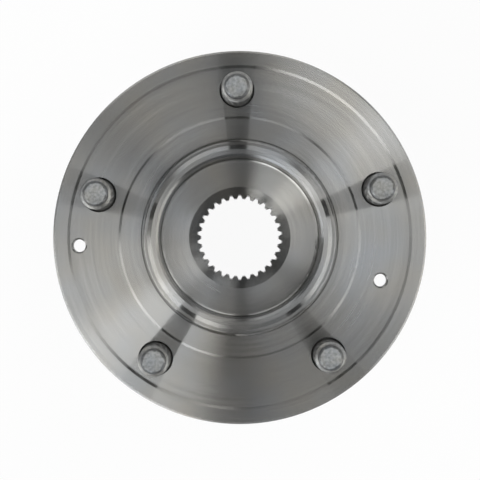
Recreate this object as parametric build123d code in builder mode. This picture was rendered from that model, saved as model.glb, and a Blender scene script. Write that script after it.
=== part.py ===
from build123d import *

import os
from math import cos, pi, radians, sin, sqrt, tan

# Driven wheel hub bearing. A flanged hub and the inner ring pressed on it turn on two rows of
# balls in a flanged outer ring, which the knuckle carries. The origin is the middle of the wheel
# face, +Z points outboard to the wheel, and lengths are in millimetres, angles in degrees.

# Wheel flange
flange_thickness = 11.0
flange_margin = 15.35  # from the stud circle out to the flange's edge
flange_edge_chamfer = 0.7
flange_back_chamfer = 1.0
rim_width = 5.5  # land along the edge
rim_slope = 1.1  # radius that the step beside it takes
land_width = 7.8  # land round the pilots
land_slope = 0.95
band_drop = 0.7  # stud band between the lands, below the wheel face
groove_width = 1.2  # turned groove at the brake pilot's foot
groove_depth = 0.8

# Wheel studs, M12 x 1.5, pressed in from behind
stud_count = 5
stud_circle_dia = 114.3
first_stud_angle = 91.1
stud_thread_dia = 12.0
stud_thread_pitch = 1.5
stud_length = 38.0  # from the wheel face to the tip
stud_head_dia = 19.0
stud_head_height = 3.5
stud_head_chamfer = 0.8
stud_shank_length = 4.0  # plain part above the wheel face
stud_neck_depth = 0.3  # relief from the knurl up to the stud band
stud_hole_allowance = 1.4  # on the thread's diameter
stud_hole_chamfer = 0.1
knurl_count = 36
knurl_bite = 0.1  # each crest's bite into the wall of the hole
knurl_depth = 0.4
knurl_setback = 2.5  # from the wheel face to the knurl
dog_dia = 9.7
dog_length = 5.1
dog_chamfer = 0.8

# Tapped holes for brake disc screws, M6: one beyond the stud circle, one on it between two studs
screw_hole_dia = 5.0
screw_hole_chamfer = 0.5
screw_offset = 5.35
screw_angle = 182.94

# Pilots and nose
wheel_pilot_dia = 71.4
wheel_pilot_height = 12.0
wheel_pilot_chamfer = 1.6
brake_pilot_step = 1.5  # radius of the brake pilot over that of the wheel pilot
brake_pilot_height = 6.0
brake_pilot_chamfer = 0.25
nose_wall = 4.25  # round the mouth of the recess
nose_chamfer = 0.95
recess_depth = 5.0  # nut seat below the wheel face
recess_taper = 0.65  # on the radius, from the mouth down to the nut seat
recess_fillet = 1.3

# Internal drive spline, 24/48 diametral pitch with 30 degree flanks
spline_teeth = 30
spline_module = 25.4 / 24
spline_flank_angle = 30.0
spline_tip_height = 0.53  # pitch circle to tooth tip
spline_root_depth = 0.795  # pitch circle to tooth root
spline_length = 37.0  # from the nut seat to the inboard end of the teeth
spline_entry = 3.1  # radius of the entry chamfer beyond the roots
axle_bore_relief = 0.83  # radius of the plain bore beyond the roots
axle_bore_chamfer = 2.5

# Bearing
ball_dia = 12.7
ball_count = 13
ball_clearance = 0.03
contact_angle = 38.0
groove_conformity = 0.52  # groove radius over ball diameter
high_shoulder = 3.75  # height over the groove's bottom
low_shoulder = 0.55
row_gap = 11.3  # between the balls of the two rows
barrel_wall = 6.0  # hub's wall under the inner ring
inner_ring_wall = 4.7  # under the low shoulder
inner_ring_overhang = 2.0  # past the outer ring's inboard face
inner_ring_chamfer = 0.5
collar_height = 4.0  # formed end that holds the inner ring
collar_width = 4.5
collar_round = 2.5
collar_lead = 1.2  # chamfer of the inner ring that the collar fills

# Outer ring
outer_ring_wall = 4.5  # round the seal bores
outer_body_step = 0.8  # radius of the outboard body over that of the knuckle pilot
outer_edge_chamfer = 0.6
head_clearance = 0.5  # stud heads to the outer ring's outboard face, along the axis
knuckle_pilot_length = 20.0
knuckle_pilot_chamfer = 1.0
knuckle_flange_thickness = 12.0
knuckle_flange_chamfer = 1.0
knuckle_hole_count = 4
knuckle_hole_angle = 45.0
knuckle_hole_dia = 10.5
knuckle_hole_chamfer = 0.4
knuckle_hole_inset = 6.95  # metal between the ring's body and each hole
knuckle_lobe_wall = 6.25

# Seals
seal_bore_depth = 4.5
seal_seat = 0.7  # radius of the seal bores over that of the low shoulders
outboard_seal_width = 2.65  # outer ring's face to the balls
inboard_seal_width = 5.65
seal_case_thickness = 0.8
seal_case_setback = 0.3
seal_web_width = 5.0
seal_rim_gap = 0.8  # slinger's rim to the seal case
slinger_thickness = 0.8
slinger_length = 4.6
encoder_thickness = 0.7
encoder_setback = 0.1
encoder_width = 5.5
lip_gap = 0.25
lip_skin = 0.4
lip_thickness = 0.8
lip_lean = 0.8
lip_edge = 0.4
lip_inset = 0.3

# Hub boss behind the flange, the counterface of the outboard seal
boss_gap = 2.0  # to the outer ring's outboard face
boss_head_gap = 0.5  # to the stud heads, along the radius
boss_fillet = 2.0

# Cages
cage_clearance = 0.15
cage_thickness = 4.2
cage_inset = 2.8  # inner radius below the pitch circle
cage_ring_width = 1.5
cage_prong = 2.5  # past the balls' centres

# Radii of the wheel side
stud_circle_r = stud_circle_dia / 2
thread_r = stud_thread_dia / 2
stud_head_r = stud_head_dia / 2
stud_hole_r = (stud_thread_dia + stud_hole_allowance) / 2
flange_r = stud_circle_r + flange_margin
rim_r = flange_r - rim_width
wheel_pilot_r = wheel_pilot_dia / 2
brake_pilot_r = wheel_pilot_r + brake_pilot_step
groove_outer_r = brake_pilot_r + groove_width
land_r = groove_outer_r + land_width
recess_mouth_r = wheel_pilot_r - nose_wall
recess_r = recess_mouth_r - recess_taper

# Radii of the bearing, from the spline outward
spline_pitch_r = spline_teeth * spline_module / 2
spline_tip_r = spline_pitch_r - spline_tip_height
spline_root_r = spline_pitch_r + spline_root_depth
entry_r = spline_root_r + spline_entry
axle_bore_r = spline_root_r + axle_bore_relief
seat_r = axle_bore_r + barrel_wall
ball_r = ball_dia / 2
inner_low_r = seat_r + inner_ring_wall
pitch_r = inner_low_r + ball_r - low_shoulder
inner_high_r = pitch_r - ball_r + high_shoulder
outer_high_r = pitch_r + ball_r - high_shoulder
outer_low_r = pitch_r + ball_r - low_shoulder
seal_bore_r = outer_low_r + seal_seat
knuckle_pilot_r = seal_bore_r + outer_ring_wall
outer_body_r = knuckle_pilot_r + outer_body_step
knuckle_hole_r = knuckle_hole_dia / 2
knuckle_lobe_r = knuckle_hole_r + knuckle_lobe_wall
knuckle_circle_r = outer_body_r + knuckle_hole_inset + knuckle_hole_r
boss_height = stud_head_height + head_clearance - boss_gap
boss_foot_r = stud_circle_r - stud_head_r - boss_head_gap
boss_r = boss_foot_r - boss_height
collar_r = seat_r + collar_width
case_inner_r = seal_bore_r - seal_case_thickness
web_r = seal_bore_r - seal_web_width
slinger_r = inner_high_r + slinger_thickness
slinger_rim_r = case_inner_r - seal_rim_gap

# Heights, from the wheel face inboard
groove_floor = -groove_depth + groove_width / 2
seat_face = -recess_depth
flange_back = -flange_thickness
head_back = flange_back - stud_head_height
outer_front = head_back - head_clearance
boss_face = outer_front + boss_gap
outboard_row = outer_front - outboard_seal_width - ball_r
inboard_row = outboard_row - ball_dia - row_gap
row_middle = (outboard_row + inboard_row) / 2
outer_back = inboard_row - ball_r - inboard_seal_width
knuckle_face = outer_back + knuckle_pilot_length
inner_back = outer_back - inner_ring_overhang
hub_end = inner_back - collar_height
spline_end = seat_face - spline_length
entry_end = seat_face - (entry_r - spline_tip_r)
dog_base = stud_length - dog_length
encoder_face = outer_back + encoder_setback
slinger_back = encoder_face + encoder_thickness
slinger_face = slinger_back + slinger_thickness
outboard_web_front = outer_front - seal_case_setback
outboard_web_back = outboard_web_front - seal_case_thickness
inboard_web_back = outer_back + seal_bore_depth
inboard_web_front = inboard_web_back - seal_case_thickness

# Groove centres as (radius, height): each groove is a little larger than its ball, so its centre
# lies past the ball's centre, on the line of contact
groove_r = groove_conformity * ball_dia
groove_shift = groove_r - ball_r - ball_clearance
shift_r = groove_shift * cos(radians(contact_angle))
shift_z = groove_shift * sin(radians(contact_angle))
inner_outboard_groove = (pitch_r + shift_r, outboard_row - shift_z)
outer_outboard_groove = (pitch_r - shift_r, outboard_row + shift_z)
inner_inboard_groove = (pitch_r + shift_r, inboard_row + shift_z)
outer_inboard_groove = (pitch_r - shift_r, inboard_row - shift_z)


def shoulder_point(centre, shoulder_r, side):
    """Corner of a ball groove and its shoulder, on the side of the centre that side's sign gives."""
    reach = sqrt(groove_r**2 - (centre[0] - shoulder_r) ** 2)
    return (shoulder_r, centre[1] + side * reach)


def groove_bottom(centre, outward):
    """Deepest point of a ball groove, with outward +1 in the outer ring and -1 on an inner race."""
    return (centre[0] + outward * groove_r, centre[1])


def export(part, name):
    """Label a finished piece and write it as a STEP file of that name."""
    part.label = name
    export_step(part, f"parts/{name}.step")


os.makedirs("parts", exist_ok=True)

# Hub: nose, flange, seal counterface, outboard race, seat of the inner ring and formed collar
hub_high = shoulder_point(inner_outboard_groove, inner_high_r, 1)
hub_low = shoulder_point(inner_outboard_groove, inner_low_r, -1)
with BuildPart() as hub_flange:
    with BuildSketch(Plane.XZ) as hub_section:
        with BuildLine():
            Polyline(
                (recess_mouth_r + nose_chamfer, wheel_pilot_height),
                (wheel_pilot_r - wheel_pilot_chamfer, wheel_pilot_height),
                (wheel_pilot_r, wheel_pilot_height - wheel_pilot_chamfer),
                (wheel_pilot_r, brake_pilot_height),
                (brake_pilot_r - brake_pilot_chamfer, brake_pilot_height),
                (brake_pilot_r, brake_pilot_height - brake_pilot_chamfer),
                (brake_pilot_r, groove_floor),
            )
            ThreePointArc(
                (brake_pilot_r, groove_floor),
                (brake_pilot_r + groove_width / 2, -groove_depth),
                (groove_outer_r, groove_floor),
            )
            Polyline(
                (groove_outer_r, groove_floor),
                (groove_outer_r, 0),
                (land_r, 0),
                (land_r + land_slope, -band_drop),
                (rim_r - rim_slope, -band_drop),
                (rim_r, 0),
                (flange_r - flange_edge_chamfer, 0),
                (flange_r, -flange_edge_chamfer),
                (flange_r, flange_back + flange_back_chamfer),
                (flange_r - flange_back_chamfer, flange_back),
                (boss_foot_r, flange_back),
                (boss_r, boss_face),
                (inner_high_r, boss_face),
                hub_high,
            )
            ThreePointArc(hub_high, groove_bottom(inner_outboard_groove, -1), hub_low)
            Polyline(
                hub_low,
                (inner_low_r, row_middle),
                (seat_r, row_middle),
                (seat_r, inner_back + collar_lead),
                (seat_r + collar_lead, inner_back),
                (collar_r, inner_back),
                (collar_r, hub_end),
                (axle_bore_r + axle_bore_chamfer, hub_end),
                (axle_bore_r, hub_end + axle_bore_chamfer),
                (axle_bore_r, spline_end),
                (spline_tip_r, spline_end),
                (spline_tip_r, entry_end),
                (entry_r, seat_face),
                (recess_r, seat_face),
                (recess_mouth_r, wheel_pilot_height - nose_chamfer),
                (recess_mouth_r + nose_chamfer, wheel_pilot_height),
            )
        make_face()
        for corner, radius in (
            ((recess_r, seat_face), recess_fillet),
            ((inner_high_r, boss_face), boss_fillet),
            ((collar_r, hub_end), collar_round),
        ):
            fillet(hub_section.vertices().sort_by_distance(corner)[0], radius)
    revolve(axis=Axis.Z)

    # Spline: the space between long teeth whose flanks lean by the flank angle, down to the tips
    half_tooth = spline_module * pi / 4
    flank_slope = tan(radians(spline_flank_angle))
    tooth_inner_r = spline_tip_r - spline_tip_height
    tooth_outer_r = spline_root_r + spline_root_depth
    inner_half = half_tooth - (spline_pitch_r - tooth_inner_r) * flank_slope
    outer_half = half_tooth + (tooth_outer_r - spline_pitch_r) * flank_slope
    with BuildSketch(Plane.XY.offset(spline_end)):
        Circle(spline_root_r)
        with PolarLocations(0, spline_teeth):
            Polygon(
                (tooth_inner_r, -inner_half),
                (tooth_outer_r, -outer_half),
                (tooth_outer_r, outer_half),
                (tooth_inner_r, inner_half),
                align=None,
                mode=Mode.SUBTRACT,
            )
        Circle(spline_tip_r)
    extrude(amount=spline_length, mode=Mode.SUBTRACT)

    with Locations((0, 0, -band_drop)):
        with PolarLocations(stud_circle_r, stud_count, first_stud_angle):
            CounterSinkHole(stud_hole_r, stud_hole_r + stud_hole_chamfer, flange_thickness, 90)
        with PolarLocations(stud_circle_r + screw_offset, 1, screw_angle):
            CounterSinkHole(screw_hole_dia / 2, screw_hole_dia / 2 + screw_hole_chamfer, flange_thickness, 90)
        with PolarLocations(stud_circle_r, 1, first_stud_angle - 1.5 * 360 / stud_count):
            CounterSinkHole(screw_hole_dia / 2, screw_hole_dia / 2 + screw_hole_chamfer, flange_thickness, 90)
export(hub_flange.part, "hub_flange")

# Wheel stud: head, knurl, neck, plain shank, thread as a row of V grooves, and dog point
stud_neck_r = thread_r - stud_neck_depth
thread_depth = 0.613 * stud_thread_pitch
thread_root_r = thread_r - thread_depth
thread_flank = 0.3125 * stud_thread_pitch
thread_flat = 0.125 * stud_thread_pitch
thread_end = dog_base - (thread_r - dog_dia / 2)
thread_turns = int((thread_end - stud_shank_length) / stud_thread_pitch)
thread_points = []
for turn in range(thread_turns):
    groove_start = stud_shank_length + turn * stud_thread_pitch + thread_flat
    thread_points += [
        (thread_r, groove_start),
        (thread_root_r, groove_start + thread_flank),
        (thread_root_r, groove_start + stud_thread_pitch - thread_flank - thread_flat),
        (thread_r, groove_start + stud_thread_pitch - thread_flat),
    ]
knurl_crest_r = stud_hole_r + knurl_bite
knurl_root_r = knurl_crest_r - knurl_depth
knurl_step = radians(360 / knurl_count)
knurl_points = []
for tooth in range(knurl_count):
    knurl_points += [
        (knurl_crest_r * cos(tooth * knurl_step), knurl_crest_r * sin(tooth * knurl_step)),
        (knurl_root_r * cos((tooth + 0.5) * knurl_step), knurl_root_r * sin((tooth + 0.5) * knurl_step)),
    ]
with BuildPart() as wheel_stud:
    with BuildSketch(Plane.XZ):
        with BuildLine():
            Polyline(
                (0, head_back),
                (stud_head_r - stud_head_chamfer, head_back),
                (stud_head_r, head_back + stud_head_chamfer),
                (stud_head_r, flange_back),
                (stud_neck_r, flange_back),
                (stud_neck_r, -band_drop - stud_neck_depth),
                (thread_r, -band_drop),
                *thread_points,
                (thread_r, thread_end),
                (dog_dia / 2, dog_base),
                (dog_dia / 2, stud_length - dog_chamfer),
                (dog_dia / 2 - dog_chamfer, stud_length),
                (0, stud_length),
                close=True,
            )
        make_face()
    revolve(axis=Axis.Z)
    with BuildSketch(Plane.XY.offset(flange_back)):
        Polygon(*knurl_points, align=None)
    extrude(amount=flange_thickness - knurl_setback)
stud_places = PolarLocations(stud_circle_r, stud_count, first_stud_angle)
for number, place in enumerate(stud_places, start=1):
    export(wheel_stud.part.moved(place), f"wheel_stud_{number}")

# Inner ring, pressed on the hub's seat against its shoulder
ring_low = shoulder_point(inner_inboard_groove, inner_low_r, 1)
ring_high = shoulder_point(inner_inboard_groove, inner_high_r, -1)
with BuildPart() as inner_ring:
    with BuildSketch(Plane.XZ):
        with BuildLine():
            Polyline((seat_r, row_middle), (inner_low_r, row_middle), ring_low)
            ThreePointArc(ring_low, groove_bottom(inner_inboard_groove, -1), ring_high)
            Polyline(
                ring_high,
                (inner_high_r, inner_back + inner_ring_chamfer),
                (inner_high_r - inner_ring_chamfer, inner_back),
                (seat_r + collar_lead, inner_back),
                (seat_r, inner_back + collar_lead),
                (seat_r, row_middle),
            )
        make_face()
    revolve(axis=Axis.Z)
export(inner_ring.part, "inner_ring")

# Outer ring: lobed knuckle flange first, then the ring with its two races and seal bores
inboard_low = shoulder_point(outer_inboard_groove, outer_low_r, -1)
inboard_high = shoulder_point(outer_inboard_groove, outer_high_r, 1)
outboard_high = shoulder_point(outer_outboard_groove, outer_high_r, -1)
outboard_low = shoulder_point(outer_outboard_groove, outer_low_r, 1)
with BuildPart() as outer_ring:
    for lobe in PolarLocations(knuckle_circle_r, knuckle_hole_count, knuckle_hole_angle):
        with BuildSketch(Plane.XY.offset(knuckle_face)):
            with BuildLine():
                CenterArc((0, 0), outer_body_r, 0, 360)
                CenterArc((lobe.position.X, lobe.position.Y), knuckle_lobe_r, 0, 360)
            make_hull()
        extrude(amount=knuckle_flange_thickness)
    flange_faces = outer_ring.faces().filter_by(Axis.Z)
    chamfer(flange_faces.edges(), knuckle_flange_chamfer)
    with BuildSketch(Plane.XY.offset(knuckle_face)):
        Circle(knuckle_pilot_r - outer_ring_wall / 2)
    extrude(amount=knuckle_flange_thickness, mode=Mode.SUBTRACT)
    with BuildSketch(Plane.XZ):
        with BuildLine():
            Polyline(
                (seal_bore_r, outer_front),
                (outer_body_r - outer_edge_chamfer, outer_front),
                (outer_body_r, outer_front - outer_edge_chamfer),
                (outer_body_r, knuckle_face),
                (knuckle_pilot_r, knuckle_face),
                (knuckle_pilot_r, outer_back + knuckle_pilot_chamfer),
                (knuckle_pilot_r - knuckle_pilot_chamfer, outer_back),
                (seal_bore_r, outer_back),
                (seal_bore_r, outer_back + seal_bore_depth),
                (outer_low_r, outer_back + seal_bore_depth),
                inboard_low,
            )
            ThreePointArc(inboard_low, groove_bottom(outer_inboard_groove, 1), inboard_high)
            Line(inboard_high, outboard_high)
            ThreePointArc(outboard_high, groove_bottom(outer_outboard_groove, 1), outboard_low)
            Polyline(
                outboard_low,
                (outer_low_r, outer_front - seal_bore_depth),
                (seal_bore_r, outer_front - seal_bore_depth),
                (seal_bore_r, outer_front),
            )
        make_face()
    revolve(axis=Axis.Z)
    with Locations(Plane(origin=(0, 0, knuckle_face), x_dir=(1, 0, 0), z_dir=(0, 0, -1))):
        with PolarLocations(knuckle_circle_r, knuckle_hole_count, knuckle_hole_angle):
            CounterSinkHole(
                knuckle_hole_r, knuckle_hole_r + knuckle_hole_chamfer, knuckle_flange_thickness, 90
            )
export(outer_ring.part, "outer_ring")

# Balls
with BuildPart() as ball:
    Sphere(ball_r)
for row_name, row_height in (("outboard", outboard_row), ("inboard", inboard_row)):
    for number, place in enumerate(PolarLocations(pitch_r, ball_count), start=1):
        centre = Location((0, 0, row_height)) * place
        export(ball.part.moved(centre), f"ball_{row_name}_{number:02d}")

# Snap cages: the closed ring of each lies between the rows, its prongs reach past the balls' centres
pocket_r = ball_r + cage_clearance
cage_inner_r = pitch_r - cage_inset
cage_height = cage_prong + pocket_r + cage_ring_width
for row_name, row_height, outward in (("outboard", outboard_row, 1), ("inboard", inboard_row, -1)):
    with BuildPart() as cage:
        with BuildSketch(Plane.XY.offset(row_height + outward * cage_prong)):
            Circle(cage_inner_r + cage_thickness)
            Circle(cage_inner_r, mode=Mode.SUBTRACT)
        extrude(amount=cage_height, dir=(0, 0, -outward))
        with Locations((0, 0, row_height)):
            with PolarLocations(pitch_r, ball_count):
                Sphere(pocket_r, mode=Mode.SUBTRACT)
    export(cage.part, f"cage_{row_name}")


def turned(points):
    """Solid of revolution about Z from a closed outline of (radius, height) points."""
    with BuildPart() as ring:
        with BuildSketch(Plane.XZ):
            with BuildLine():
                Polyline(*points, close=True)
            make_face()
        revolve(axis=Axis.Z)
    return ring.part


def lip_ring(run_r, web_front, counterface, side):
    """Rubber bonded to a seal web: a skin on its front, a lip to the counterface and one to a cylinder.

    run_r is that cylinder's radius, and side is +1 where the web's front faces outboard.
    """
    web_back = web_front - side * seal_case_thickness
    skin = web_front + side * lip_skin
    lip_end = counterface - side * lip_gap
    tip_r = slinger_rim_r - lip_inset
    root_r = tip_r - lip_lean - lip_edge
    inner_r = run_r + lip_gap
    middle_r = (web_r + run_r) / 2
    return turned(
        [
            (web_r, web_back),
            (web_r, web_front),
            (slinger_rim_r, web_front),
            (slinger_rim_r, skin),
            (root_r, skin),
            (tip_r, lip_end),
            (tip_r - lip_edge, lip_end),
            (root_r - lip_thickness, skin),
            (middle_r, skin),
            (inner_r, web_back),
            (inner_r, web_back - side * lip_edge),
            (middle_r, web_back),
        ]
    )


# Outboard seal: its case in the outer ring's bore, its lips towards the hub's boss and land
outboard_seal_case = turned(
    [
        (web_r, outboard_web_front),
        (seal_bore_r, outboard_web_front),
        (seal_bore_r, outer_front - seal_bore_depth),
        (case_inner_r, outer_front - seal_bore_depth),
        (case_inner_r, outboard_web_back),
        (web_r, outboard_web_back),
    ]
)
export(outboard_seal_case, "outboard_seal_case")
export(lip_ring(inner_high_r, outboard_web_front, boss_face, 1), "outboard_seal_lip")

# Inboard seal: the case and its lips run on a slinger that carries the encoder
inboard_seal_case = turned(
    [
        (web_r, inboard_web_back),
        (seal_bore_r, inboard_web_back),
        (seal_bore_r, outer_back + seal_case_setback),
        (case_inner_r, outer_back + seal_case_setback),
        (case_inner_r, inboard_web_front),
        (web_r, inboard_web_front),
    ]
)
export(inboard_seal_case, "inboard_seal_case")
export(lip_ring(slinger_r, inboard_web_front, slinger_face, -1), "inboard_seal_lip")
inboard_seal_slinger = turned(
    [
        (inner_high_r, slinger_back),
        (slinger_rim_r, slinger_back),
        (slinger_rim_r, slinger_face),
        (slinger_r, slinger_face),
        (slinger_r, slinger_back + slinger_length),
        (inner_high_r, slinger_back + slinger_length),
    ]
)
export(inboard_seal_slinger, "inboard_seal_slinger")
encoder_ring = turned(
    [
        (slinger_rim_r - encoder_width, encoder_face),
        (slinger_rim_r, encoder_face),
        (slinger_rim_r, slinger_back),
        (slinger_rim_r - encoder_width, slinger_back),
    ]
)
export(encoder_ring, "encoder_ring")
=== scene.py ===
"""Looks of a wheel hub bearing that stands on its inboard end and is seen along its axis.

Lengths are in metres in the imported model's frame: the origin is the middle of the wheel face and
+Z points outboard. Patterns are worked out in millimetres.
"""

import logging
from dataclasses import dataclass
from enum import Enum
from math import cos, hypot, radians, sin, tau
from typing import Any

import bmesh
import bpy
from mathutils import Matrix, Vector


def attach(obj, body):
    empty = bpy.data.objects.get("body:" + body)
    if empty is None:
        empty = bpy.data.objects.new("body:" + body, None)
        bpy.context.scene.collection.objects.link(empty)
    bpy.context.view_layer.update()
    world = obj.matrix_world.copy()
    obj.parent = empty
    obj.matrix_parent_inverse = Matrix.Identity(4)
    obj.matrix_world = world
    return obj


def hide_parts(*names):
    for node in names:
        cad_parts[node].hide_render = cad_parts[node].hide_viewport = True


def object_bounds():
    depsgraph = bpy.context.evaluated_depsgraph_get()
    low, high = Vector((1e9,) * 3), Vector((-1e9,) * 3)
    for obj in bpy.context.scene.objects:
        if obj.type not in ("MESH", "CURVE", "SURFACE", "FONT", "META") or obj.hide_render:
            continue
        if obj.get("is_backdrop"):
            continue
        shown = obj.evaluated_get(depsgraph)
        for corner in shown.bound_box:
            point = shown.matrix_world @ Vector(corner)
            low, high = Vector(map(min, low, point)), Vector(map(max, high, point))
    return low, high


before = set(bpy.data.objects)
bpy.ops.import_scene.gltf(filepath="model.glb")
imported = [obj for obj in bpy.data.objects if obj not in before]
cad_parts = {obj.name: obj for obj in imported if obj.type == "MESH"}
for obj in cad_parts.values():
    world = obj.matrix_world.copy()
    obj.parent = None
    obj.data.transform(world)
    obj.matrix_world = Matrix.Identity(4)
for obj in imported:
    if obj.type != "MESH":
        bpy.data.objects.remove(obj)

log = logging.getLogger("wheel_hub_bearing")
Tone = tuple[float, float, float]

MM_PER_M = 1000.0

# Added to the length of a direction's level part, which is nought for a direction straight up
LEAST_LEVEL = 0.0001

# Radius in mm of the circle of studs, angle in degrees of the first one, and their number
STUD_CIRCLE = 57.15
FIRST_STUD = 91.1
STUD_COUNT = 5

# Tints that steel leans to, and how far a noise of one unit swings it
WARM = (1.05, 1.0, 0.9, 1.0)
COOL = (0.95, 1.0, 1.07, 1.0)
TINT_SWING = 2.4

# Colours of the soft boxes that aren't white
COOL_LIGHT = (0.98, 0.99, 1.0)
WARM_LIGHT = (1.0, 0.99, 0.96)

# Shares of the roughness that the broad marks and the stains move
ROUGH_MARKS = 0.35
ROUGH_STAINS = 0.25

# Lightness that the fine marks move, against the broad ones
FINE_LIGHTNESS = 0.6

# Share of a turned surface that lies level between the flanks of its marks
LEVEL_SHARE = 0.4

# Turn of a highlight that lays it across marks that run round the axis
ACROSS_MARKS = 0.25


class Wire:
    """One output of a node. Python's operators on it add the Math nodes that they stand for."""

    def __init__(self, graph: "Graph", socket: bpy.types.NodeSocket) -> None:
        """Keeps the socket and the graph that it belongs to."""
        self.graph = graph
        self.socket = socket

    def __add__(self, other: "Wire | float") -> "Wire":
        """Returns the sum."""
        return self.graph.maths("ADD", self, other)

    __radd__ = __add__

    def __sub__(self, other: "Wire | float") -> "Wire":
        """Returns this less the other."""
        return self.graph.maths("SUBTRACT", self, other)

    def __rsub__(self, other: float) -> "Wire":
        """Returns the other less this."""
        return self.graph.maths("SUBTRACT", other, self)

    def __mul__(self, other: "Wire | float") -> "Wire":
        """Returns the product."""
        return self.graph.maths("MULTIPLY", self, other)

    __rmul__ = __mul__

    def __truediv__(self, other: "Wire | float") -> "Wire":
        """Returns this over the other."""
        return self.graph.maths("DIVIDE", self, other)


class Graph:
    """A node tree that is built from empty, with one way to add any node."""

    def __init__(self, tree: bpy.types.NodeTree) -> None:
        """Clears the tree and keeps it."""
        tree.nodes.clear()
        self.tree = tree

    def add(
        self,
        kind: str,
        settings: dict[str, Any] | None = None,
        values: dict[str | int, Any] | None = None,
    ) -> bpy.types.Node:
        """Adds a node of any type.

        Args:
            kind: The node's type.
            settings: Properties such as operation, which are set before the sockets.
            values: Numbers, colours or wires, by the socket's name or number.

        Returns:
            The new node.
        """
        node = self.tree.nodes.new(kind)
        for name, setting in (settings or {}).items():
            setattr(node, name, setting)
        for key, value in (values or {}).items():
            if isinstance(value, Wire):
                self.tree.links.new(value.socket, node.inputs[key])
            else:
                node.inputs[key].default_value = value
        return node

    def out(self, node: bpy.types.Node, key: str | int = 0) -> Wire:
        """Returns the wire from one output of a node."""
        return Wire(self, node.outputs[key])

    def maths(self, operation: str, *values: Wire | float) -> Wire:
        """Returns a Math node's result for its values, in order."""
        node = self.add("ShaderNodeMath", {"operation": operation}, dict(enumerate(values)))
        return self.out(node)

    def ease(self, value: Wire, low: float, high: float) -> Wire:
        """Adds a smooth step.

        Args:
            value: The number that is tested.
            low: Where the step starts. It may be above high, and then the step falls.
            high: Where it ends.

        Returns:
            0 before the step and 1 after it.
        """
        settings = {"interpolation_type": "SMOOTHSTEP"}
        sockets = {"Value": value, "From Min": low, "From Max": high}
        return self.out(self.add("ShaderNodeMapRange", settings, sockets))

    def within(self, value: Wire, low: float, high: float, soft: float) -> Wire:
        """Adds a smooth window.

        Args:
            value: The number that is tested.
            low: Where the window starts.
            high: Where it ends.
            soft: Width over which each end fades, on each side.

        Returns:
            1 inside the window and 0 outside.
        """
        rise = self.ease(value, low - soft, low + soft)
        fall = self.ease(value, high - soft, high + soft)
        return rise * (1 - fall)

    def blend(self, share: Wire | float, first: Any, second: Any) -> Wire:
        """Returns the first colour where share is 0 and the second where it is 1."""
        node = self.add("ShaderNodeMix", {"data_type": "RGBA"}, {0: share, 6: first, 7: second})
        return self.out(node, 2)

    def join(self, x: Wire | float, y: Wire | float, z: Wire | float) -> Wire:
        """Returns the vector of three numbers."""
        return self.out(self.add("ShaderNodeCombineXYZ", None, {0: x, 1: y, 2: z}))

    def noise(self, place: Wire, scale: float, detail: float = 3.0, rough: float = 0.5) -> Wire:
        """Returns a noise texture's value, 0.5 on average, at a place."""
        sockets = {"Vector": place, "Scale": scale, "Detail": detail, "Roughness": rough}
        return self.out(self.add("ShaderNodeTexNoise", None, sockets))

    def bump(self, height: Wire) -> Wire:
        """Returns the normal of a surface with a relief, whose height is in millimetres."""
        sockets = {"Strength": 1.0, "Distance": 1 / MM_PER_M, "Height": height}
        return self.out(self.add("ShaderNodeBump", None, sockets))

    def scale(self, colour: Any, amount: Wire) -> Wire:
        """Returns a colour times an amount."""
        sockets = {"Vector": colour, "Scale": amount}
        return self.out(self.add("ShaderNodeVectorMath", {"operation": "SCALE"}, sockets))

    def cover(self, share: Wire | float, under: Wire, over: Wire) -> Wire:
        """Returns a shader that is the first where share is 0 and the second where it is 1."""
        return self.out(self.add("ShaderNodeMixShader", None, {0: share, 1: under, 2: over}))

    def principled(self, sockets: dict[str | int, Any]) -> Wire:
        """Returns a Principled BSDF with these sockets."""
        return self.out(self.add("ShaderNodeBsdfPrincipled", None, sockets))


def opaque(tone: Tone) -> tuple[float, float, float, float]:
    """Returns a colour with an alpha of 1, as a colour socket takes it."""
    return (*tone, 1.0)


def shade(tone: Tone, amount: float) -> Tone:
    """Returns the colour times an amount."""
    return tuple(channel * amount for channel in tone)


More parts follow.
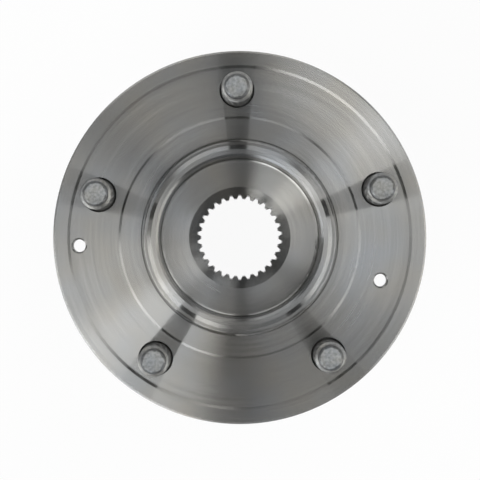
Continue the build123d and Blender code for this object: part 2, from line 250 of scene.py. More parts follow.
class Spot:
    """Where a point of a surface lies, in millimetres, in the ways that the finishes need it.

    Attributes:
        height_share: How far a millimetre of height counts across the axis, against one of radius.
        along_share: How far a place moves for each millimetre along the axis.
        least_radius: Radius added in mm, so that nothing is divided by nought on the axis.
    """

    height_share: float = 0.83
    along_share: float = 0.02
    least_radius: float = 0.001

    def __init__(self, graph: Graph) -> None:
        """Reads the Object coordinates.

        Args:
            graph: The material's nodes.
        """
        source = graph.add("ShaderNodeTexCoord")
        scaled = graph.add(
            "ShaderNodeVectorMath",
            {"operation": "SCALE"},
            {"Vector": graph.out(source, "Object"), "Scale": MM_PER_M},
        )
        self.graph = graph
        self.vector = graph.out(scaled)
        parts = graph.add("ShaderNodeSeparateXYZ", None, {0: self.vector})
        self.x, self.y, self.z = (graph.out(parts, axis) for axis in range(3))
        self.radius = graph.maths("SQRT", self.x * self.x + self.y * self.y)

    def round_axis(self, per_turn: float, per_mm: float) -> Wire:
        """Returns a place that changes slowly round the axis and fast across it.

        Args:
            per_turn: How far the place moves round the axis, as the radius of its circle.
            per_mm: How far it moves for each millimetre of radius or height.

        Returns:
            The place, as a vector for a noise texture of scale 1.
        """
        size = self.radius + self.least_radius
        across = (self.radius + self.z * self.height_share) * per_mm
        return self.graph.join(self.x / size * per_turn, self.y / size * per_turn, across)

    def off_circle(self, circle: float, first: float, count: int) -> Wire:
        """Returns the distance in mm from the nearest of the axes that stand on a circle.

        Args:
            circle: Radius of the circle in mm.
            first: Angle in degrees of the first axis.
            count: Number of axes.

        Returns:
            The distance, across the axis.
        """
        graph = self.graph
        turn = graph.maths("ARCTAN2", self.y, self.x) - radians(first)
        turn = graph.maths("WRAP", turn, tau / count / 2, -tau / count / 2)
        along = self.radius * graph.maths("COSINE", turn) - circle
        across = self.radius * graph.maths("SINE", turn)
        return graph.maths("SQRT", along * along + across * across)

    def along_axis(self, per_mm: float) -> Wire:
        """Returns a place that changes slowly along the axis and fast round it."""
        return self.graph.join(self.x * per_mm, self.y * per_mm, self.z * self.along_share)


class Marks(Enum):
    """Which way the tool left its marks in a metal."""

    ROUND = "round the axis, from turning or grinding"
    NONE = "in no direction, from tumbling, forming or plating"


@dataclass(frozen=True)
class Finish:
    """What every finish has: a name and a way to become a material."""

    name: str

    def shader(self, graph: Graph, spot: Spot) -> Wire:
        """Returns the surface's shader. Each finish has its own."""
        raise NotImplementedError

    def make(self) -> bpy.types.Material:
        """Makes a material with this finish.

        Returns:
            The new material.
        """
        material = bpy.data.materials.new(self.name)
        material.use_nodes = True
        graph = Graph(material.node_tree)
        surface = self.shader(graph, Spot(graph))
        graph.add("ShaderNodeOutputMaterial", None, {"Surface": surface})
        return material


@dataclass(frozen=True)
class Steel(Finish):
    """Bare or plated steel.

    Attributes:
        tone: Colour of the metal.
        rough: Roughness on average.
        marks: Which way the tool marks run.
        pitch: Distance between tool marks in mm.
        depth: Depth of the tool marks in mm.
        streaks: How much lighter and darker the marks are.
        stain: How far the colour leans to warm and cool over the piece.
        stain_size: Size of those patches in mm.
        anisotropy: How much the marks stretch a highlight across them.
        waves: How fast the fine and the broad marks change round the axis.
        broad_round: Pitch of the fine marks over that of the broad ones, round the axis.
        broad_loose: The same where the marks run in no direction.
        flanks: Slope of the sides of the finest marks on faces across the axis. They throw the
            light further out and in, and leave it sharp round the axis.
    """

    tone: Tone
    rough: float
    marks: Marks
    pitch: float
    depth: float
    streaks: float
    stain: float
    stain_size: float
    anisotropy: float = 0.0
    waves: tuple[float, float] = (2.2, 0.9)
    broad_round: float = 0.28
    broad_loose: float = 0.22
    flanks: float = 0.0

    def grain(self, graph: Graph, spot: Spot) -> tuple[Wire, Wire]:
        """Adds the tool marks.

        Args:
            graph: The material's nodes.
            spot: Where the surface is.

        Returns:
            The fine and the broad marks, each 0.5 on average.
        """
        if self.marks is Marks.ROUND:
            small, large = self.waves
            near = spot.round_axis(small, 1 / self.pitch)
            far = spot.round_axis(large, self.broad_round / self.pitch)
            fine = graph.noise(near, 1.0, detail=2.0, rough=0.6)
            broad = graph.noise(far, 1.0, detail=3.0, rough=0.55)
            return fine, broad
        fine = graph.noise(spot.vector, 1 / self.pitch, detail=3.0, rough=0.6)
        broad = graph.noise(spot.vector, self.broad_loose / self.pitch, detail=2.0, rough=0.5)
        return fine, broad

    def metal(
        self,
        graph: Graph,
        spot: Spot,
        tone: Tone | Wire,
        rough: float | Wire,
        formed: Wire | float = 0.0,
    ) -> Wire:
        """Returns the shader of this steel with its own marks and stains.

        Args:
            graph: The material's nodes.
            spot: Where the surface is.
            tone: Colour in place of the finish's own.
            rough: Roughness in place of the finish's own.
            formed: 1 where a form tool left no flanks, and 0 elsewhere.

        Returns:
            The shader.
        """
        fine, broad = self.grain(graph, spot)
        patch = graph.noise(spot.vector, 1 / self.stain_size, detail=2.5, rough=0.55)
        lean = graph.maths("MAXIMUM", 0.5 + (patch - 0.5) * (TINT_SWING * self.stain), 0.0)
        tint = graph.blend(lean, WARM, COOL)
        tinted = graph.add("ShaderNodeVectorMath", {"operation": "MULTIPLY"}, {0: tone, 1: tint})
        lift = 1.0 + (broad - 0.5) * self.streaks
        lift = lift + (fine - 0.5) * (FINE_LIGHTNESS * self.streaks)
        uneven = 1.0 + (broad - 0.5) * ROUGH_MARKS + (patch - 0.5) * ROUGH_STAINS
        sockets = {
            "Base Color": graph.scale(graph.out(tinted), lift),
            "Metallic": 1.0,
            "Roughness": uneven * rough,
            "Anisotropic": self.anisotropy,
            "Anisotropic Rotation": ACROSS_MARKS,
        }
        level = fine * self.depth
        flat = graph.principled(sockets | {"Normal": graph.bump(level)})
        if self.flanks == 0.0:
            return flat
        outward, inward = (
            graph.principled(sockets | {"Normal": graph.bump(level + spot.radius * slope)})
            for slope in (-self.flanks, self.flanks)
        )
        level_share = LEVEL_SHARE + (1 - LEVEL_SHARE) * formed
        return graph.cover(level_share, graph.cover(0.5, outward, inward), flat)

    def shader(self, graph: Graph, spot: Spot) -> Wire:
        """Returns the shader of the steel as it is."""
        return self.metal(graph, spot, self.tone, self.rough)


@dataclass(frozen=True)
class HubSteel(Steel):
    """Turned steel of the hub, with a broached spline, and painted shade that darkens its recess
    wall and entry cone.

    Attributes:
        bore_radius: Radius in mm inside which the surface is broached or bored.
        cone_radius: Outer radius in mm of the cone at the spline's mouth.
        cone_foot: Height less radius in mm of any point on that cone, which slopes at 45 degrees.
        wall_radii: Inner and outer radius in mm of the recess wall.
        wall_heights: Lower and upper height in mm of the recess wall.
        wall_edge: Width in mm over which the wall ends upward and downward, on each side.
        cone_painted_shade: Share of the colour that painted shade takes off the cone.
        wall_painted_shade: Share of the colour that painted shade takes off the wall.
        corner_radii: Inner and outer radius in mm of the recess's corner and wall.
        corner_heights: Lower and upper height in mm of them. A form tool cut both.
        corner_rough: Roughness there, as a share of the rest.
        step_radii: Inner and outer radius in mm of the step beside the rim's land.
        step_heights: Lower and upper height in mm of it.
        step_share: Share of it that the form tool left smooth.
        fade: Width in mm over which the bore and the cone end, on each side.
        cone_fade: Heights in mm off the cone between which its painted shade ends.
        broach_fade: Heights in mm off the cone between which the broached surface starts.
        edge: Width in mm over which the faces cut by a form tool end, on each side.
        scratches: Broaching marks for each mm.
        broached_tone: Colour of the broached surface, as a share of the rest.
        broached_rough: Its lowest roughness, and how far the marks raise it.
    """

    bore_radius: float = 17.9
    cone_radius: float = 19.8
    cone_foot: float = -24.77
    wall_radii: tuple[float, float] = (30.7, 31.48)
    wall_heights: tuple[float, float] = (-4.2, 11.0)
    wall_edge: float = 0.2
    cone_painted_shade: float = 0.2
    wall_painted_shade: float = 0.3
    corner_radii: tuple[float, float] = (29.4, 31.5)
    corner_heights: tuple[float, float] = (-4.93, 11.0)
    corner_rough: float = 0.75
    step_radii: tuple[float, float] = (65.9, 67.0)
    step_heights: tuple[float, float] = (-0.66, -0.04)
    step_share: float = 0.3
    fade: float = 0.1
    cone_fade: tuple[float, float] = (-0.12, -0.05)
    broach_fade: tuple[float, float] = (-0.05, -0.15)
    edge: float = 0.02
    scratches: float = 4.0
    broached_tone: float = 0.82
    broached_rough: tuple[float, float] = (0.3, 0.22)

    def shader(self, graph: Graph, spot: Spot) -> Wire:
        """Adds turned steel with a broached zone inside it and two zones darkened by painted
        shade.

        Args:
            graph: The material's nodes.
            spot: Where the surface is.

        Returns:
            The surface's shader.
        """
        slope = spot.z - spot.radius
        # Painted shade: the entry cone and the recess wall get a darker share of the colour.
        cone = self.inside(graph, spot, self.cone_radius)
        cone = cone * graph.ease(slope, *(self.cone_foot + gap for gap in self.cone_fade))
        wall = self.face(graph, spot, self.wall_radii, self.wall_heights, self.wall_edge)
        share = 1.0 - cone * self.cone_painted_shade - wall * self.wall_painted_shade
        formed = self.face(graph, spot, self.corner_radii, self.corner_heights, self.edge)
        rough = (1.0 - formed * (1.0 - self.corner_rough)) * self.rough
        step = self.face(graph, spot, self.step_radii, self.step_heights, self.edge)
        formed = formed + step * self.step_share
        turned = self.metal(graph, spot, graph.scale(self.tone, share), rough, formed)
        scratch = graph.noise(spot.along_axis(self.scratches), 1.0, detail=2.0, rough=0.6)
        smoothest, swing = self.broached_rough
        broached = graph.principled(
            {
                "Base Color": opaque(shade(self.tone, self.broached_tone)),
                "Metallic": 1.0,
                "Roughness": smoothest + scratch * swing,
            }
        )
        below = graph.ease(slope, *(self.cone_foot + gap for gap in self.broach_fade))
        return graph.cover(self.inside(graph, spot, self.bore_radius) * below, turned, broached)

    def inside(self, graph: Graph, spot: Spot, radius: float) -> Wire:
        """Returns 1 nearer the axis than a radius in mm and 0 beyond it."""
        return graph.ease(spot.radius, radius + self.fade, radius - self.fade)

    def face(
        self,
        graph: Graph,
        spot: Spot,
        radii: tuple[float, float],
        heights: tuple[float, float],
        soft: float,
    ) -> Wire:
        """Returns 1 on a turned face of the hub and 0 off it.

        Args:
            graph: The material's nodes.
            spot: Where the surface is.
            radii: Inner and outer radius of the face in mm.
            heights: Lower and upper height of the face in mm.
            soft: Width in mm over which the face ends upward and downward, on each side.

        Returns:
            The face's share of the spot.
        """
        ring = graph.within(spot.radius, *radii, self.edge)
        return ring * graph.within(spot.z, *heights, soft)


@dataclass(frozen=True)
class StudSteel(Steel):
    """Dull zinc plated stud steel, with painted shade that darkens its thread, cone and dog point
    below a flat tip of the plating's own colour.

    Attributes:
        shaded_thread_tone: Colour of the thread, darkened as painted shade.
        shaded_cone_tone: Colour of the cone from the thread to the dog point, darkened less as
            painted shade.
        shaded_edge_tone: Colour of the dog point's side and chamfer, darkened most as painted
            shade.
        cone_base: Height in mm where the cone starts.
        dog_base: Height in mm where the dog point starts.
        tip_base: Height in mm below the flat tip.
        tip_radius: Radius in mm of the flat tip.
        cone_fade: Heights in mm off the cone's start between which its colour sets in.
        dog_fade: The same for the dog point.
        tip_fade: The same for the flat tip.
        rim_fade: Distances in mm off the tip's radius between which its colour sets in.
        frays: Frays of the tip's edge for each mm.
        fray: How far in mm they move that edge.
        patches: Worn patches for each mm.
        mottle: How unevenly the plating is worn.
    """

    shaded_thread_tone: Tone = (0.15, 0.15, 0.148)
    shaded_cone_tone: Tone = (0.26, 0.26, 0.255)
    shaded_edge_tone: Tone = (0.13, 0.132, 0.134)
    cone_base: float = 31.5
    dog_base: float = 33.0
    tip_base: float = 37.5
    tip_radius: float = 4.0
    cone_fade: tuple[float, float] = (-0.2, 0.2)
    dog_fade: tuple[float, float] = (-0.2, 0.1)
    tip_fade: tuple[float, float] = (-0.1, 0.1)
    rim_fade: tuple[float, float] = (0.2, -0.3)
    frays: float = 0.5
    fray: float = 1.6
    patches: float = 0.9
    mottle: float = 1.1

    def shader(self, graph: Graph, spot: Spot) -> Wire:
        """Adds the plating, band by band up the stud, with painted shade on all but the flat tip,
        and worn patches.

        Args:
            graph: The material's nodes.
            spot: Where the surface is.

        Returns:
            The surface's shader.
        """
        # Painted shade: the thread, the cone and the dog point's side and chamfer take darker
        # copies of the plating's colour; the flat tip keeps its own.
        thread, cone, edge, tip = (
            opaque(tone) for tone in (self.shaded_thread_tone, self.shaded_cone_tone, self.shaded_edge_tone, self.tone)
        )
        worn = graph.noise(spot.vector, self.frays, detail=3.0, rough=0.65)
        reach = spot.off_circle(STUD_CIRCLE, FIRST_STUD, STUD_COUNT) + (worn - 0.5) * self.fray
        point = graph.ease(spot.z, *(self.tip_base + gap for gap in self.tip_fade))
        point = point * graph.ease(reach, *(self.tip_radius + gap for gap in self.rim_fade))
        on_cone = graph.ease(spot.z, *(self.cone_base + gap for gap in self.cone_fade))
        on_dog = graph.ease(spot.z, *(self.dog_base + gap for gap in self.dog_fade))
        colour = graph.blend(on_cone, thread, cone)
        colour = graph.blend(on_dog, colour, edge)
        colour = graph.blend(point, colour, tip)
        patch = graph.noise(spot.vector, self.patches, detail=2.0, rough=0.5)
        colour = graph.scale(colour, 1.0 + (patch - 0.5) * self.mottle)
        return self.metal(graph, spot, colour, self.rough)


@dataclass(frozen=True)
class ForgedSteel(Steel):
    """Turned steel with a dark forged skin where no tool went.

    Attributes:
        skin: Colour of the skin.
        skin_radius: Radius in mm beyond which the sides are as forged.
        skin_low: Lowest height in mm of the forged sides.
        skin_high: Highest height in mm of the forged sides.
        skin_range: Darkest and lightest share of the skin's colour.
        skin_fade: Widths in mm over which it ends along the axis and across it, on each side.
        skin_metallic: How metallic it is.
        skin_rough: Its lowest roughness, and how far the pits raise it.
        scales: Patches of scale for each mm.
        pits: Pits for each mm.
        pit_depth: Depth in mm of the pits.
    """

    skin: Tone = (0.09, 0.088, 0.085)
    skin_radius: float = 46.6
    skin_low: float = -38.9
    skin_high: float = -29.1
    skin_range: tuple[float, float] = (0.7, 1.5)
    skin_fade: tuple[float, float] = (0.1, 0.3)
    skin_metallic: float = 0.8
    skin_rough: tuple[float, float] = (0.5, 0.25)
    scales: float = 0.16
    pits: float = 0.9
    pit_depth: float = 0.2

    def shader(self, graph: Graph, spot: Spot) -> Wire:
        """Adds turned steel whose flange sides keep the scaly skin of the forging.

        Args:
            graph: The material's nodes.
            spot: Where the surface is.

        Returns:
            The surface's shader.
        """
        turned = self.metal(graph, spot, self.tone, self.rough)
        pit = graph.noise(spot.vector, self.pits, detail=4.0, rough=0.65)
        scale = graph.noise(spot.vector, self.scales, detail=3.0, rough=0.5)
        dark, light = (opaque(shade(self.skin, share)) for share in self.skin_range)
        smoothest, swing = self.skin_rough
        forged = graph.principled(
            {
                "Base Color": graph.blend(scale, dark, light),
                "Metallic": self.skin_metallic,
                "Roughness": smoothest + pit * swing,
                "Normal": graph.bump(pit * self.pit_depth),
            }
        )
        upward, inward = self.skin_fade
        sides = graph.within(spot.z, self.skin_low, self.skin_high, upward)
        outside = graph.ease(spot.radius, self.skin_radius - inward, self.skin_radius + inward)
        return graph.cover(sides * outside, turned, forged)


@dataclass(frozen=True)
class Moulded(Finish):
    """Rubber or moulded plastic.

    Attributes:
        tone: Colour of the material.
        rough: Roughness on average.
        grain_size: Size in mm of the mottling of its surface.
        depth: Depth of that mottling in mm.
        mottle: How much lighter and darker it gets.
        fibres: Share of a streaky pattern from short glass fibres.
        fibre_waves: How fast that pattern changes round the axis, and for each mm across it.
        clouds: Broad patches for each mm.
        fine_share: Share of the fine patterns, against the broad patches.
        rough_swing: How far the patterns move the roughness.
    """

    tone: Tone
    rough: float
    grain_size: float
    depth: float
    mottle: float
    fibres: float = 0.0
    fibre_waves: tuple[float, float] = (14.0, 0.8)
    clouds: float = 0.12
    fine_share: float = 0.6
    rough_swing: float = 0.2

    def shader(self, graph: Graph, spot: Spot) -> Wire:
        """Adds a dielectric with a mottled surface.

        Args:
            graph: The material's nodes.
            spot: Where the surface is.

        Returns:
            The surface's shader.
        """
        fine = graph.noise(spot.vector, 1 / self.grain_size, detail=3.0, rough=0.6)
        broad = graph.noise(spot.vector, self.clouds, detail=2.0, rough=0.5)
        streak = graph.noise(spot.round_axis(*self.fibre_waves), 1.0, detail=2.0, rough=0.6)
        share = 0.5 + (fine - 0.5) * (1 - self.fibres) + (streak - 0.5) * self.fibres
        share = share * self.fine_share + broad * (1 - self.fine_share)
        dark = opaque(shade(self.tone, 1 - self.mottle))
        light = opaque(shade(self.tone, 1 + self.mottle))
        sockets = {
            "Base Color": graph.blend(share, dark, light),
            "Roughness": self.rough + (share - 0.5) * self.rough_swing,
            "Normal": graph.bump(fine * self.depth),
        }
        return graph.principled(sockets)


TURNED = HubSteel(
    name="turned hub steel",
    tone=(0.345, 0.345, 0.341),
    rough=0.25,
    marks=Marks.ROUND,
    pitch=0.32,
    depth=0.0012,
    streaks=0.24,
    stain=0.7,
    stain_size=34.0,
    anisotropy=1.0,
    flanks=0.4,
)
FORGED = ForgedSteel(
    name="forged and turned ring steel",
    tone=(0.33, 0.33, 0.325),
    rough=0.42,
    marks=Marks.ROUND,
    pitch=0.4,
    depth=0.0015,
    streaks=0.18,
    stain=0.8,
    stain_size=26.0,
    anisotropy=0.7,
)
GROUND = Steel(
    name="ground race steel",
    tone=(0.42, 0.42, 0.415),
    rough=0.2,
    marks=Marks.ROUND,
    pitch=0.12,
    depth=0.0003,
    streaks=0.08,
    stain=0.4,
    stain_size=20.0,
    anisotropy=0.5,
)
LAPPED = Steel(
    name="lapped ball steel",
    tone=(0.55, 0.55, 0.55),
    rough=0.05,
    marks=Marks.NONE,
    pitch=0.8,
    depth=0.00002,
    streaks=0.02,
    stain=0.2,
    stain_size=9.0,
)
PLATED = StudSteel(
    name="dull zinc plated stud steel",
    tone=(0.33, 0.338, 0.34),
    rough=0.5,
    marks=Marks.NONE,
    pitch=0.5,
    depth=0.02,
    streaks=0.25,
    stain=0.5,
    stain_size=5.0,
)
PRESSED = Steel(
    name="phosphated seal sheet",
    tone=(0.2, 0.2, 0.195),
    rough=0.5,
    marks=Marks.NONE,
    pitch=0.4,
    depth=0.004,
    streaks=0.2,
    stain=0.4,
    stain_size=12.0,
)
STAINLESS = Steel(
    name="drawn stainless slinger",
    tone=(0.5, 0.495, 0.48),
    rough=0.26,
    marks=Marks.ROUND,
    pitch=0.3,
    depth=0.0006,
    streaks=0.1,
    stain=0.3,
    stain_size=18.0,
    anisotropy=0.4,
)
RUBBER = Moulded(
    name="nitrile seal rubber",
    tone=(0.022, 0.021, 0.02),
    rough=0.55,
    grain_size=0.5,
    depth=0.006,
    mottle=0.3,
)
ENCODER = Moulded(
    name="ferrite filled encoder rubber",
    tone=(0.05, 0.046, 0.043),
    rough=0.48,
    grain_size=0.35,
    depth=0.008,
    mottle=0.25,
)
NYLON = Moulded(
    name="glass filled nylon cage",
    tone=(0.52, 0.44, 0.28),
    rough=0.42,
    grain_size=0.7,
    depth=0.01,
    mottle=0.14,
    fibres=0.6,
)


@dataclass
class WheelStud:
    """A pressed-in wheel stud with a rolled, helical thread, a knurl and a cupped dog point.

    Attributes:
        circle: Radius of the circle of studs.
        first: Angle in degrees of the first stud.
        count: Number of studs.
        thread: Radius over the thread's crests.
        pitch: Distance between the thread's crests.
        depth: Depth of the thread.
        length: From the wheel face to the tip.
        head: Radius of the head.
        head_height: Thickness of the head.
        head_edge: Chamfer of the head's edge.
        flange: Thickness of the hub's flange.
        knurl_crest: Radius over the knurl.
        knurl_root: Radius at the bottom of the knurl.
        knurl_end: Height where the knurl ends.
        neck: Radius of the relief beside the knurl.
        band: Height of the stud band of the flange.
        shank_end: Height where the thread starts to run out.
        dog: Radius of the dog point.
        dog_base: Height where the dog point starts.
        dog_edge: Chamfer of the dog point.
        cup: Radius of the shallow cup in the tip.
        cup_depth: Depth of that cup.
        head_ring: Share of the head's radius at the ring inside its face.
        head_round: How far in from its corner the middle of the head's rounded edge is, as a share
            of the chamfer.
        cup_ring: Share of the cup's radius at the ring inside it.
        cup_falls: Shares of the cup's depth at its rim and at that ring.
        bevel: Small bevel under the head and at the cup's rim, and height of the first ring of the
            dog point.
        chamfer_round: Rounding of the dog point's chamfer: how far it reaches along the faces
            beside the chamfer, along the chamfer, and in from its corners.
        knurl_fade: Height over which the knurl runs out.
        slope_rings: Rings of faces on the slope to the dog point.
        steps: Faces round the stud, two for each tooth of the knurl.
        ring: Distance between the rings of faces along the thread.
        flank_gain: Rise of the thread's flanks over one pitch, as a share of the depth.
        root_flat: Share of the depth by which that rise starts late, which leaves a flat root.
        sharpness: Share of the thread's form that is straight, with the rest rounded.
        run_out: Turns over which the thread starts.
        spread: Turn between one stud's thread and the next one's, over the angle between them.
        same: Distance below which two corners are one.
        near: Distance below which a corner counts as on a surface.
        below: Distance under the dog point's foot at which the thread ends.
        sharp: Angle in degrees past which an edge stays sharp.
    """

    circle: float = STUD_CIRCLE / MM_PER_M
    first: float = FIRST_STUD
    count: int = STUD_COUNT
    thread: float = 0.006
    pitch: float = 0.0015
    depth: float = 0.00088
    length: float = 0.038
    head: float = 0.0095
    head_height: float = 0.0035
    head_edge: float = 0.0008
    flange: float = 0.011
    knurl_crest: float = 0.0068
    knurl_root: float = 0.0064
    knurl_end: float = -0.0025
    neck: float = 0.0057
    band: float = -0.0007
    shank_end: float = 0.0038
    dog: float = 0.00485
    dog_base: float = 0.0329
    dog_edge: float = 0.0008
    cup: float = 0.0034
    cup_depth: float = 0.00022
    head_ring: float = 0.5
    head_round: float = 0.3
    cup_ring: float = 0.6
    cup_falls: tuple[float, float] = (0.5, 0.85)
    bevel: float = 0.0002
    chamfer_round: tuple[float, float, float] = (0.00015, 0.0001, 0.00012)
    knurl_fade: float = 0.0003
    slope_rings: int = 6
    steps: int = 72
    ring: float = 0.0001
    flank_gain: float = 2.9
    root_flat: float = 0.2
    sharpness: float = 0.55
    run_out: float = 2.2
    spread: float = 3.7
    same: float = 1e-7
    near: float = 1e-6
    below: float = 0.00001
    sharp: float = 38.0

    def outline(self) -> list[tuple[float, float]]:
        """Works out the stud's half section.

        Returns:
            Its corners from the head to the tip, each as (radius, height).
        """
        back = -self.flange - self.head_height
        shoulder = self.dog_base - (self.thread - self.dog)
        rings = round((shoulder - self.shank_end) / self.ring)
        threaded = [
            (self.thread, self.shank_end + (shoulder - self.shank_end) * number / rings)
            for number in range(rings + 1)
        ]
        slope = [
            (
                self.thread + (self.dog - self.thread) * number / self.slope_rings,
                shoulder + (self.dog_base - shoulder) * number / self.slope_rings,
            )
            for number in range(1, self.slope_rings + 1)
        ]
        beside, along, within = self.chamfer_round
        corner = self.length - self.dog_edge
        chamfer = self.head_edge * self.head_round
        rim_fall, ring_fall = (self.cup_depth * share for share in self.cup_falls)
        return [
            (0.0, back),
            (self.head * self.head_ring, back),
            (self.head - self.head_edge, back),
            (self.head - chamfer, back + chamfer),
            (self.head, back + self.head_edge),
            (self.head, -self.flange - self.bevel),
            (self.head - self.bevel, -self.flange),
            (self.knurl_root, -self.flange),
            (self.knurl_root, self.knurl_end - self.knurl_fade),
            (self.neck, self.knurl_end),
            (self.neck, self.band - (self.thread - self.neck)),
            (self.thread, self.band),
            *threaded,
            *slope,
            (self.dog, self.dog_base + self.bevel),
            (self.dog, corner - beside),
            (self.dog - within, corner + along),
            (self.dog - self.dog_edge + along, self.length - within),
            (self.dog - self.dog_edge - beside, self.length),
            (self.cup + self.bevel, self.length),
            (self.cup - self.bevel, self.length - rim_fall),
            (self.cup * self.cup_ring, self.length - ring_fall),
            (0.0, self.length - self.cup_depth),
        ]

    def cut_thread(self, corner: Vector) -> float:
        """Returns the radius of the rolled thread at a corner of the plain stud.

        Args:
            corner: A point on the plain stud, whose radius is the thread's.

        Returns:
            The radius there, with rounded crests and roots, run out at the shank and cut off by
            the slope to the dog point.
        """
        turn = (Vector((corner.x, corner.y)).angle_signed(Vector((1.0, 0.0)), 0.0)) / tau
        phase = (corner.z / self.pitch - turn) % 1.0
        height = min(1.0, max(0.0, abs(phase - 0.5) * self.flank_gain - self.root_flat))
        rounded = height * height * (3 - 2 * height)
        ramp = min(1.0, max(0.0, (corner.z - self.shank_end) / (self.run_out * self.pitch)))
        form = self.sharpness * height + (1 - self.sharpness) * rounded
        return self.thread - self.depth * ramp * (1 - form)

    def build(self) -> bpy.types.Mesh:
        """Spins the half section, and cuts the thread and the knurl into it.

        Returns:
            The mesh of one stud on its own axis.
        """
        mesh = bpy.data.meshes.new("wheel_stud")
        form = bmesh.new()
        corners = [form.verts.new((radius, 0.0, height)) for radius, height in self.outline()]
        edges = [form.edges.new(pair) for pair in zip(corners, corners[1:])]
        bmesh.ops.spin(
            form,
            geom=corners + edges,
            cent=(0.0, 0.0, 0.0),
            axis=(0.0, 0.0, 1.0),
            angle=tau,
            steps=self.steps,
            use_merge=True,
        )
        bmesh.ops.remove_doubles(form, verts=form.verts, dist=self.same)
        top = self.dog_base - self.below
        for vert in form.verts:
            radius = hypot(vert.co.x, vert.co.y)
            if self.shank_end < vert.co.z < top and radius > self.dog:
                reach = min(radius, self.cut_thread(vert.co))
                vert.co.xy *= reach / radius
            elif abs(radius - self.knurl_root) < self.near and vert.co.z < self.knurl_end:
                turn = vert.co.xy.angle_signed(Vector((1.0, 0.0)), 0.0) / tau
                if round(turn * self.steps) % 2 == 0:
                    vert.co.xy *= self.knurl_crest / radius
        bmesh.ops.recalc_face_normals(form, faces=form.faces)
        form.to_mesh(mesh)
        form.free()
        mesh.shade_smooth()
        mesh.set_sharp_from_angle(angle=radians(self.sharp))
        return mesh

    def place(self, material: bpy.types.Material) -> None:
        """Adds the studs round the hub, each in place of the plain one.

        Args:
            material: The studs' material.
        """
        for number in range(1, self.count + 1):
            angle = radians(self.first + 360 / self.count * (number - 1))
            mesh = self.build()
            mesh.transform(Matrix.Rotation(angle * self.spread, 4, "Z"))
            spot = (self.circle * cos(angle), self.circle * sin(angle), 0.0)
            mesh.transform(Matrix.Translation(spot))
            mesh.materials.append(material)
            piece = bpy.data.objects.new(f"threaded_stud_{number}", mesh)
            bpy.context.scene.collection.objects.link(piece)
            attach(piece, "hub")
            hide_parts(f"wheel_stud_{number}")
            log.info("%s: %d faces", piece.name, len(mesh.polygons))


@dataclass
class Dressing:
    """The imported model's own nodes and the finish that each of them gets.

    Attributes:
        rows: Names of the two rows of balls.
        balls: Number of balls in each row.
    """

    rows: tuple[str, ...] = ("outboard", "inboard")
    balls: int = 13

    def finishes(self) -> dict[Finish, list[str]]:
        """Says which nodes have which finish.

        Returns:
            The nodes' names, by finish.
        """
        balls = [f"ball_{row}_{n:02d}" for row in self.rows for n in range(1, self.balls + 1)]
        return {
            TURNED: ["hub_flange"],
            FORGED: ["outer_ring"],
            GROUND: ["inner_ring"],
            LAPPED: balls,
            PRESSED: [f"{row}_seal_case" for row in self.rows],
            STAINLESS: ["inboard_seal_slinger"],
            RUBBER: [f"{row}_seal_lip" for row in self.rows],
            ENCODER: ["encoder_ring"],
            NYLON: [f"cage_{row}" for row in self.rows],
        }

    def dress(self) -> None:
        """Gives every node its material."""
        for finish, names in self.finishes().items():
            material = finish.make()
            for name in names:
                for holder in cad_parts[name].material_slots:
                    holder.material = material
            log.info("%s on %s", finish.name, ", ".join(names))


@dataclass(frozen=True)
class Softbox:
    """A soft patch of light in the studio, as the object sees it.

    Attributes:
        azimuth: Its middle, in degrees round from +X.
        half_width: Half its width in degrees of azimuth.
        low: Elevation of its lower edge in degrees.
        high: Elevation of its upper edge in degrees.
        strength: Radiance at its middle.
        tone: Its colour.
        soft: Width in degrees over which its edges fade, on each side.
    """

    azimuth: float
    half_width: float
    low: float
    high: float
    strength: float
    tone: Tone = (1.0, 1.0, 1.0)
    soft: float = 9.0

    def glow(self, graph: Graph, x: Wire, y: Wire, z: Wire) -> Wire:
        """Adds the light of this box.

        Args:
            graph: The world's nodes.
            x: The direction's part along +X.
            y: Its part along +Y.
            z: Its part along +Z.

        Returns:
            The light from that direction, as a vector of its three colours.
        """
        flat = graph.maths("SQRT", x * x + y * y) + LEAST_LEVEL
        toward = (x * cos(radians(self.azimuth)) + y * sin(radians(self.azimuth))) / flat
        outer = cos(radians(self.half_width + self.soft))
        inner = cos(radians(self.half_width - self.soft))
        side = graph.ease(toward, outer, inner)
        low, high = sin(radians(self.low)), sin(radians(self.high))
        rise = graph.within(z, low, high, sin(radians(self.soft)))
        return graph.scale(self.tone, side * rise * self.strength)


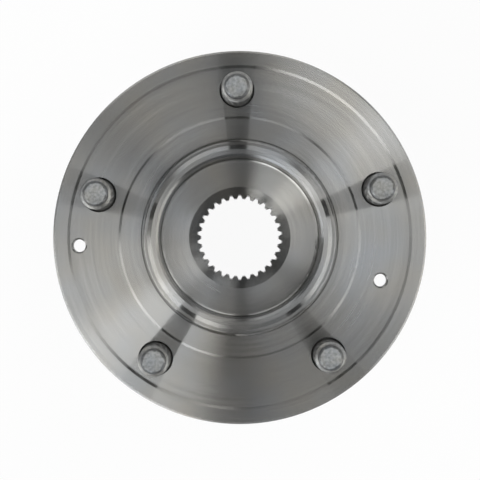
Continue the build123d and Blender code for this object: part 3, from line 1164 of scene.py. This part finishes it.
@dataclass
class Studio:
    """The floor, the light and the camera round the object.

    Attributes:
        softboxes: The patches of light.
        base: Light from everywhere else.
        floor_height: Height of the floor, under the hub's formed end.
        floor_size: Half the width of the floor.
        floor_tone: Colour of the floor.
        floor_white: Share of the floor that is seen as plain white.
        distance: From the wheel face to the camera.
        sensor: Width of the camera's sensor in mm.
        lens: Focal length in mm.
        shift: Shift of the frame that puts the hub where the photograph has it.
    """

    softboxes: tuple[Softbox, ...] = (
        Softbox(234, 22, 18, 39, 6.0, COOL_LIGHT),
        Softbox(198, 15, -16, 22, 4.15, COOL_LIGHT),
        Softbox(344, 24, -10, 19, 4.25, WARM_LIGHT),
        Softbox(115, 17, 7, 27, 2.5),
        Softbox(27, 13, 20, 36, 3.4),
        Softbox(72, 12, 17, 35, 2.8),
        Softbox(351, 72, 67, 90, 2.65),
        Softbox(195, 40, 64, 90, 3.4),
    )
    base: float = 0.18
    floor_height: float = -0.06605
    floor_size: float = 4.0
    floor_tone: Tone = (0.86, 0.86, 0.86)
    floor_white: float = 0.94
    distance: float = 1.35
    sensor: float = 36.0
    lens: float = 260.7
    shift: tuple[float, float] = (0.0005, -0.00515)

    def light(self) -> None:
        """Makes a world that is white to the camera and a studio of soft boxes to the object."""
        world = bpy.data.worlds.new("studio")
        world.use_nodes = True
        bpy.context.scene.world = world
        graph = Graph(world.node_tree)
        source = graph.add("ShaderNodeTexCoord")
        parts = graph.add("ShaderNodeSeparateXYZ", None, {0: graph.out(source, "Generated")})
        x, y, z = (graph.out(parts, axis) for axis in range(3))
        studio: Wire | Tone = (self.base,) * 3
        for box in self.softboxes:
            both = {0: studio, 1: box.glow(graph, x, y, z)}
            studio = graph.out(graph.add("ShaderNodeVectorMath", {"operation": "ADD"}, both))
        rays = graph.add("ShaderNodeLightPath")
        colour = graph.blend(graph.out(rays, "Is Camera Ray"), studio, (1.0, 1.0, 1.0, 1.0))
        background = graph.add("ShaderNodeBackground", None, {"Color": colour})
        graph.add("ShaderNodeOutputWorld", None, {"Surface": graph.out(background)})
        log.info("studio light of %d soft boxes", len(self.softboxes))

    def floor(self) -> None:
        """Lays a plain pale floor that keeps the object's shadow."""
        mesh = bpy.data.meshes.new("floor")
        form = bmesh.new()
        bmesh.ops.create_grid(form, x_segments=1, y_segments=1, size=self.floor_size)
        bmesh.ops.translate(form, verts=form.verts, vec=(0.0, 0.0, self.floor_height))
        form.to_mesh(mesh)
        form.free()
        material = bpy.data.materials.new("pale floor")
        material.use_nodes = True
        graph = Graph(material.node_tree)
        rays = graph.add("ShaderNodeLightPath")
        seen = graph.out(rays, "Is Camera Ray") + graph.out(rays, "Is Glossy Ray")
        seen = graph.maths("MINIMUM", seen + graph.out(rays, "Is Transmission Ray"), 1.0)
        matt = graph.add("ShaderNodeBsdfDiffuse", None, {"Color": opaque(self.floor_tone)})
        white = graph.add("ShaderNodeEmission", None, {"Color": (1.0, 1.0, 1.0, 1.0)})
        mixed = graph.cover(seen * self.floor_white, graph.out(matt), graph.out(white))
        graph.add("ShaderNodeOutputMaterial", None, {"Surface": mixed})
        mesh.materials.append(material)
        piece = bpy.data.objects.new("floor", mesh)
        bpy.context.scene.collection.objects.link(piece)
        piece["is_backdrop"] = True
        log.info("floor at %.3f m", self.floor_height)

    def camera(self) -> None:
        """Puts the camera on the hub's axis, looking at the wheel side."""
        data = bpy.data.cameras.new("camera")
        data.lens = self.lens
        data.sensor_width = self.sensor
        data.shift_x, data.shift_y = self.shift
        piece = bpy.data.objects.new("camera", data)
        piece.location = (0.0, 0.0, self.distance)
        bpy.context.scene.collection.objects.link(piece)
        bpy.context.scene.camera = piece
        bpy.context.scene.view_settings.view_transform = "Standard"
        log.info("camera %.2f m above the wheel face", self.distance)

    def build(self) -> None:
        """Makes everything that isn't part of the object."""
        self.camera()
        self.floor()
        self.light()


def corners() -> list[list[float]]:
    """Returns the lowest and the highest corner of the shown object as plain lists."""
    return [[round(value, 6) for value in corner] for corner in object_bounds()]


def main() -> None:
    """Builds the studio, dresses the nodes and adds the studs."""
    logging.basicConfig(level=logging.INFO, format="%(name)s: %(message)s")
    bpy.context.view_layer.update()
    Studio().build()
    Dressing().dress()
    WheelStud().place(PLATED.make())
    log.info("sizes written")


if __name__ == "__main__":
    main()
